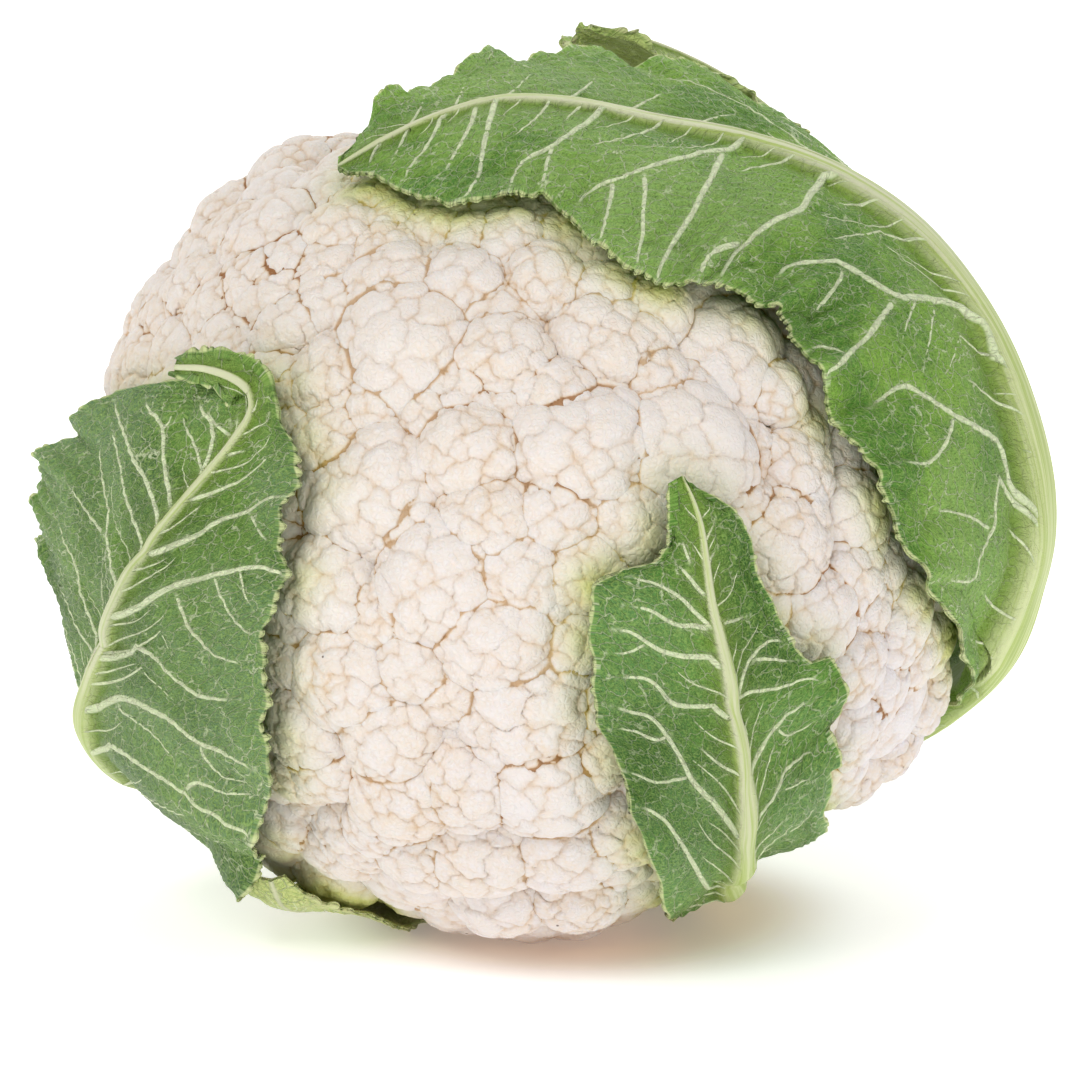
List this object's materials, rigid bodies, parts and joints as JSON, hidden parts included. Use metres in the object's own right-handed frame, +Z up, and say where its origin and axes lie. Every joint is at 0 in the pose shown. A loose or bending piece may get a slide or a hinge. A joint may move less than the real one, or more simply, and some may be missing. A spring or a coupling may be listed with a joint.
{
  "type": "cauliflower",
  "caption": "Fresh cauliflower head lying on its side, a domed white curd of florets on a cut stalk, wrapped by broad ribbed leaves.",
  "frame": {"origin": "on the surface the head lies on, under the middle of its box", "axes": "+Z up, -Y towards the side that the curd's florets face, +X to the right as seen from there"},
  "size_m": [0.215, 0.1933, 0.1852],
  "materials": {
    "curd": "matt, warm creamy white with tan creases",
    "stalk": "matt pale green, moist where cut",
    "leaf": "waxy green with a blue-grey bloom and pale raised veins",
    "leaf_pale": "waxy pale yellow-green"
  },
  "bodies": {
    "root": {"curd": "curd", "stalk": "stalk", "leaf_right": "leaf", "leaf_left": "leaf", "leaf_front": "leaf", "leaf_back": "leaf", "leaf_inner": "leaf_pale"}
  },
  "joints": []
}
